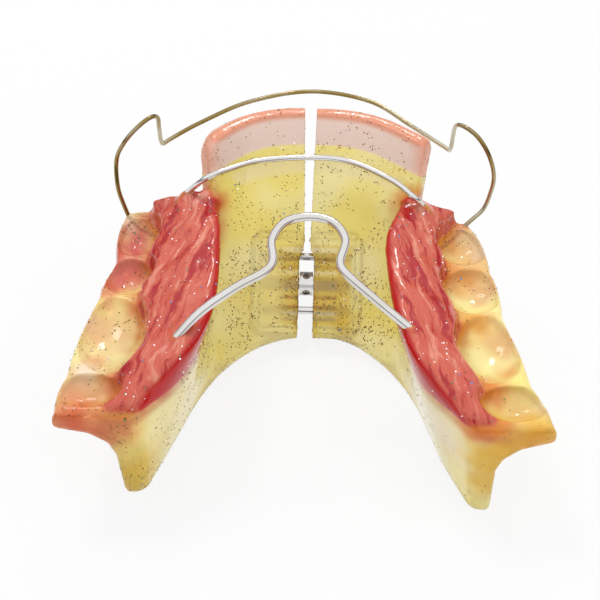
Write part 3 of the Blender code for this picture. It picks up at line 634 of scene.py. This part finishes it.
def acrylic_material():
    """Cold-cured acrylic, ground and polished: clear and glossy, with soft waves from the mop."""
    material, tree, shader = new_material("dyed cold-cured acrylic")
    coords = add_node(tree, "ShaderNodeTexCoord").outputs["Object"]
    in_mm = add_node(tree, "ShaderNodeVectorMath", {0: coords, 3: 1 / MM},
                     operation="SCALE").outputs[0]
    dye = add_node(tree, "ShaderNodeAttribute", attribute_name="dye").outputs["Color"]
    pad, flank_shade, band, thin = (
        add_node(tree, "ShaderNodeAttribute", attribute_name=name).outputs["Fac"]
        for name in ("pad_dye", "pad_flank_shade", "band_dye", "thin"))

    # Red powder drawn out along the pad, in streaks 7 mm long and 1 mm wide. The pale streaks are
    # partly painted reflection of the lamps on the glossy pad
    swirl = add_node(tree, "ShaderNodeTexNoise", {"Vector": in_mm, "Scale": 0.3, "Detail": 2.0})
    centred = add_node(tree, "ShaderNodeVectorMath", {0: swirl.outputs["Color"],
                       1: (0.5, 0.5, 0.5)}, operation="SUBTRACT").outputs[0]
    pushed = add_node(tree, "ShaderNodeVectorMath", {0: centred, 3: 2.4},
                      operation="SCALE").outputs[0]
    wet = add_node(tree, "ShaderNodeVectorMath", {0: in_mm, 1: pushed}, operation="ADD").outputs[0]
    axes = add_node(tree, "ShaderNodeSeparateXYZ", {0: wet}).outputs
    outward = add_node(tree, "ShaderNodeMath", {0: axes[0]}, operation="ABSOLUTE").outputs[0]
    across = add_node(tree, "ShaderNodeMath", {0: axes[1], 1: PAD_SLANT, 2: outward},
                      operation="MULTIPLY_ADD").outputs[0]
    pulled = add_node(tree, "ShaderNodeCombineXYZ", {0: across, 1: axes[1], 2: axes[2]})
    drawn = add_node(tree, "ShaderNodeMapping", {"Vector": pulled.outputs[0],
                                                 "Scale": (1.0, 0.14, 0.4)})
    streaks = add_node(tree, "ShaderNodeTexNoise", {"Vector": drawn.outputs[0], "Scale": 0.9,
                       "Detail": 4.0, "Roughness": 0.62}).outputs["Fac"]
    deep = add_node(tree, "ShaderNodeMapRange", {"Value": streaks, "From Min": 0.51,
                    "From Max": 0.62, "To Max": 1.0}, interpolation_type="SMOOTHSTEP").outputs[0]
    pale_streak_and_sheen = add_node(tree, "ShaderNodeMapRange", {"Value": streaks, "From Min": 0.47,
                     "From Max": 0.34, "To Max": 0.95}, interpolation_type="SMOOTHSTEP").outputs[0]
    red = linear(PAD_RED)
    # The light streaks are partly painted reflection, and the flank's deep red is painted shade
    for share, shade in ((deep, PAD_DEEP), (pale_streak_and_sheen, PAD_PALE_STREAK_AND_SHEEN), (flank_shade, PAD_FLANK_SHADE)):
        red = add_node(tree, "ShaderNodeMix", {0: share, 6: red, 7: linear(shade)},
                       data_type="RGBA").outputs[2]
    colour = add_node(tree, "ShaderNodeMix", {0: pad, 6: dye, 7: red}, data_type="RGBA").outputs[2]
    tree.links.new(colour, shader.inputs["Base Color"])

    # The yellow is the clearest, more so where it is thin, and the band and the pad are cloudier
    clear = add_node(tree, "ShaderNodeMapRange", {"Value": pad, "To Min": 0.42,
                                                  "To Max": 0.12}).outputs[0]
    for layer, change in ((thin, 0.12), (band, -0.15)):
        clear = add_node(tree, "ShaderNodeMath", {0: layer, 1: change, 2: clear},
                         operation="MULTIPLY_ADD").outputs[0]
    tree.links.new(clear, shader.inputs["Transmission Weight"])
    shader.inputs["Roughness"].default_value = 0.12
    shader.inputs["IOR"].default_value = 1.49

    # Waves 2 mm apart, which the mop left
    waves = add_node(tree, "ShaderNodeTexNoise", {"Vector": in_mm, "Scale": 0.5, "Detail": 2.0})
    bump = add_node(tree, "ShaderNodeBump", {"Height": waves.outputs["Fac"], "Strength": 0.3,
                                             "Distance": 0.0002})
    tree.links.new(bump.outputs[0], shader.inputs["Normal"])
    return material


acrylic = acrylic_material()
halves = {}
for side in ("left", "right"):
    half = cast_half(side)
    fold_pad(half.data, dye_half(side, half.data))
    half.data.materials.clear()
    half.data.materials.append(acrylic)
    half.data.shade_smooth()
    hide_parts(f"{side}_plate", f"{side}_pad", f"{side}_band")
    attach(half, f"{side}_half")
    halves[side] = half


# Glitter
# Hexagons of coloured polyester foil, 0.1 to 0.3 mm across, that were stirred into the powder.
# Those that show lie just at the polished surface, leaning a little this way and that.
FLAKE_LIFT = 0.00003
FLAKE_LEAN = 0.5        # radians, at most
# Colour, metal share, flakes per mm2, share of that on a pad, smallest and largest radius in mm
FOILS = (
    ("olive", "66590F", 0.2, 1.3, 0.05, 0.05, 0.12),
    ("rust", "9E4C14", 0.2, 1.1, 0.08, 0.05, 0.12),
    ("brown", "4A3410", 0.1, 0.7, 0.05, 0.05, 0.11),
    ("green", "3E7A50", 0.3, 0.12, 0.5, 0.06, 0.14),
    ("silver", "F8FAFF", 0.0, 0.05, 4.5, 0.04, 0.13),
    ("blue", "5C86C0", 0.2, 0.03, 1.2, 0.07, 0.17),
)


def glitter_tree():
    """Geometry Nodes that scatter hexagonal flakes over a casting, thicker in some places."""
    tree = bpy.data.node_groups.new("scattered flakes", "GeometryNodeTree")
    sockets = {}
    for name, kind in (("Geometry", "NodeSocketGeometry"), ("Flakes per m2", "NodeSocketFloat"),
                       ("Smallest radius", "NodeSocketFloat"),
                       ("Largest radius", "NodeSocketFloat"),
                       ("Share on a pad", "NodeSocketFloat"), ("Seed", "NodeSocketInt"),
                       ("Foil", "NodeSocketMaterial")):
        sockets[name] = tree.interface.new_socket(name, in_out="INPUT", socket_type=kind).identifier
    tree.interface.new_socket("Geometry", in_out="OUTPUT", socket_type="NodeSocketGeometry")
    given = tree.nodes.new("NodeGroupInput").outputs
    foil = add_node(tree, "GeometryNodeInputNamedAttribute", {"Name": "foil"}, data_type="FLOAT")
    pad = add_node(tree, "GeometryNodeInputNamedAttribute", {"Name": "pad_dye"}, data_type="FLOAT")
    thick = add_node(tree, "ShaderNodeMix", {0: pad.outputs[0], 2: foil.outputs[0],
                                             3: given["Share on a pad"]}, data_type="FLOAT")
    density = add_node(tree, "ShaderNodeMath", {0: thick.outputs[0], 1: given["Flakes per m2"]},
                       operation="MULTIPLY")
    points = add_node(tree, "GeometryNodeDistributePointsOnFaces",
                      {"Mesh": given["Geometry"], "Density": density.outputs[0],
                       "Seed": given["Seed"]})
    up = add_node(tree, "ShaderNodeVectorMath", {0: points.outputs["Normal"], 3: FLAKE_LIFT},
                  operation="SCALE")
    lifted = add_node(tree, "GeometryNodeSetPosition", {"Geometry": points.outputs["Points"],
                                                        "Offset": up.outputs[0]})
    lean = add_node(tree, "FunctionNodeRandomValue", {0: (-FLAKE_LEAN, -FLAKE_LEAN, 0.0),
                    1: (FLAKE_LEAN, FLAKE_LEAN, 1.0), 8: given["Seed"]}, data_type="FLOAT_VECTOR")
    turn = add_node(tree, "FunctionNodeEulerToRotation", {0: lean.outputs[0]})
    turned = add_node(tree, "FunctionNodeRotateRotation", {0: points.outputs["Rotation"],
                      1: turn.outputs[0]}, rotation_space="LOCAL")
    size = add_node(tree, "FunctionNodeRandomValue", {2: given["Smallest radius"],
                    3: given["Largest radius"], 8: given["Seed"]}, data_type="FLOAT")
    flake = add_node(tree, "GeometryNodeMeshCircle", {"Vertices": 6, "Radius": 1.0},
                     fill_type="NGON")
    laid = add_node(tree, "GeometryNodeInstanceOnPoints", {"Points": lifted.outputs[0],
                    "Instance": flake.outputs[0], "Rotation": turned.outputs[0],
                    "Scale": size.outputs[1]})
    real = add_node(tree, "GeometryNodeRealizeInstances", {0: laid.outputs[0]})
    foiled = add_node(tree, "GeometryNodeSetMaterial", {"Geometry": real.outputs[0],
                                                        "Material": given["Foil"]})
    tree.links.new(foiled.outputs[0], tree.nodes.new("NodeGroupOutput").inputs[0])
    return tree, sockets


def foil_material(name, hex_colour, metallic):
    """Metallised polyester foil: a saturated dark speck that flashes when it faces a lamp."""
    material, _, shader = new_material(name)
    shader.inputs["Base Color"].default_value = linear(hex_colour)
    shader.inputs["Metallic"].default_value = metallic
    shader.inputs["Roughness"].default_value = 0.35
    return material


flakes, inputs = glitter_tree()
for row, (colour, hex_colour, metallic, density, on_pad, smallest, largest) in enumerate(FOILS):
    foil = foil_material(f"{colour} polyester foil", hex_colour, metallic)
    for side, half in halves.items():
        glitter = add_mesh(f"{side}_{colour}_glitter", half.data.copy())
        scatter = glitter.modifiers.new("scatter", "NODES")
        scatter.node_group = flakes
        scatter[inputs["Flakes per m2"]] = density / MM ** 2
        scatter[inputs["Share on a pad"]] = on_pad
        scatter[inputs["Smallest radius"]] = smallest * MM
        scatter[inputs["Largest radius"]] = largest * MM
        scatter[inputs["Seed"]] = 2 * row + (side == "right")
        scatter[inputs["Foil"]] = foil
        glitter = made_plain(glitter)
        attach(glitter, f"{side}_half")


# Floor, light and camera
# A white paper sweep under soft studio light. The camera stands where the photographer did, behind
# the appliance and above it.
FLOOR_HALF = 2.0
PAPER_GLOW = 0.9        # how much of the paper is even white to the eye, the rest takes shadows
ROOM_LEVEL = 0.88       # light that the room sheds on matt and clear surfaces
LIT_SPOT = (0, 0, 0.01)
# Name, place, size, power, and whether polished surfaces mirror the lamp
LAMPS = (("key lamp", (-0.15, 0.20, 0.45), 0.12, 1.3, False),
         ("glint lamp", (0.04, 0.32, 0.37), 0.06, 0.22, True),
         ("fill lamp", (0.35, -0.10, 0.35), 0.40, 0.6, False))
CAMERA_PLACE = (-0.0009, -0.1110, 0.1273)
CAMERA_DOWN = 47.0      # degrees below level that it looks, along +Y
CAMERA_ROLL = 1.6       # degrees
CAMERA_LENS = 72.0      # mm, on a sensor 36 mm wide


def paper_material():
    """Matt white paper that the camera, metal and clear acrylic see as an even white."""
    material, tree, shader = new_material("white paper sweep")
    shader.inputs["Base Color"].default_value = linear("F4F4F4")
    shader.inputs["Roughness"].default_value = 0.9
    rays = add_node(tree, "ShaderNodeLightPath").outputs
    seen = rays["Is Camera Ray"]
    for kind in ("Is Glossy Ray", "Is Transmission Ray"):
        seen = add_node(tree, "ShaderNodeMath", {0: seen, 1: rays[kind]},
                        operation="MAXIMUM").outputs[0]
    share = add_node(tree, "ShaderNodeMath", {0: seen, 1: PAPER_GLOW}, operation="MULTIPLY")
    glow = add_node(tree, "ShaderNodeEmission", {"Color": linear("FAFAFA"), "Strength": 1.0})
    mixed = add_node(tree, "ShaderNodeMixShader", {0: share.outputs[0], 1: shader.outputs[0],
                                                   2: glow.outputs[0]})
    tree.links.new(mixed.outputs[0], tree.nodes["Material Output"].inputs["Surface"])
    return material


def add_floor():
    bm = bmesh.new()
    bmesh.ops.create_grid(bm, x_segments=1, y_segments=1, size=FLOOR_HALF)
    mesh = bpy.data.meshes.new("floor")
    bm.to_mesh(mesh)
    bm.free()
    floor = add_mesh("floor", mesh)
    floor.data.materials.append(paper_material())


def add_world():
    """An even white room that metal and polish see as darker towards the horizon."""
    world = bpy.data.worlds.new("soft white room")
    world.use_nodes = True
    bpy.context.scene.world = world
    tree = world.node_tree
    direction = add_node(tree, "ShaderNodeTexCoord").outputs["Generated"]
    height = add_node(tree, "ShaderNodeSeparateXYZ", {0: direction}).outputs["Z"]
    mirrored = add_node(tree, "ShaderNodeMapRange", {"Value": height, "From Min": 0.10,
                        "From Max": 0.55, "To Min": 0.20, "To Max": 1.15},
                        interpolation_type="SMOOTHSTEP").outputs[0]
    rays = add_node(tree, "ShaderNodeLightPath").outputs
    level = add_node(tree, "ShaderNodeMix", {0: rays["Is Glossy Ray"], 2: ROOM_LEVEL,
                                             3: mirrored}).outputs[0]
    level = add_node(tree, "ShaderNodeMix", {0: rays["Is Camera Ray"], 2: level, 3: 1.0})
    background = tree.nodes["Background"]
    background.inputs["Color"].default_value = linear("FAFAFA")
    tree.links.new(level.outputs[0], background.inputs["Strength"])


def add_lamp(name, place, size, power, mirrored):
    """A soft square lamp that faces the appliance."""
    lamp = bpy.data.lights.new(name, "AREA")
    lamp.size = size
    lamp.energy = power
    obj = bpy.data.objects.new(name, lamp)
    bpy.context.scene.collection.objects.link(obj)
    obj.visible_glossy = mirrored
    obj.location = place
    obj.rotation_euler = (Vector(LIT_SPOT) - Vector(place)).to_track_quat("-Z", "Y").to_euler()


def add_camera():
    """The photograph's view: behind the appliance, looking down along +Y, turned a little."""
    data = bpy.data.cameras.new("camera")
    data.lens = CAMERA_LENS
    data.sensor_width = 36.0
    data.clip_start = 0.01
    data.clip_end = 10.0
    camera = bpy.data.objects.new("camera", data)
    bpy.context.scene.collection.objects.link(camera)
    tilt = Matrix.Rotation(math.radians(90 - CAMERA_DOWN), 4, "X")
    roll = Matrix.Rotation(math.radians(CAMERA_ROLL), 4, "Z")
    camera.matrix_world = Matrix.Translation(CAMERA_PLACE) @ tilt @ roll
    bpy.context.scene.camera = camera


add_floor()
add_world()
for lamp_row in LAMPS:
    add_lamp(*lamp_row)
add_camera()
bpy.context.scene.view_settings.view_transform = "Standard"
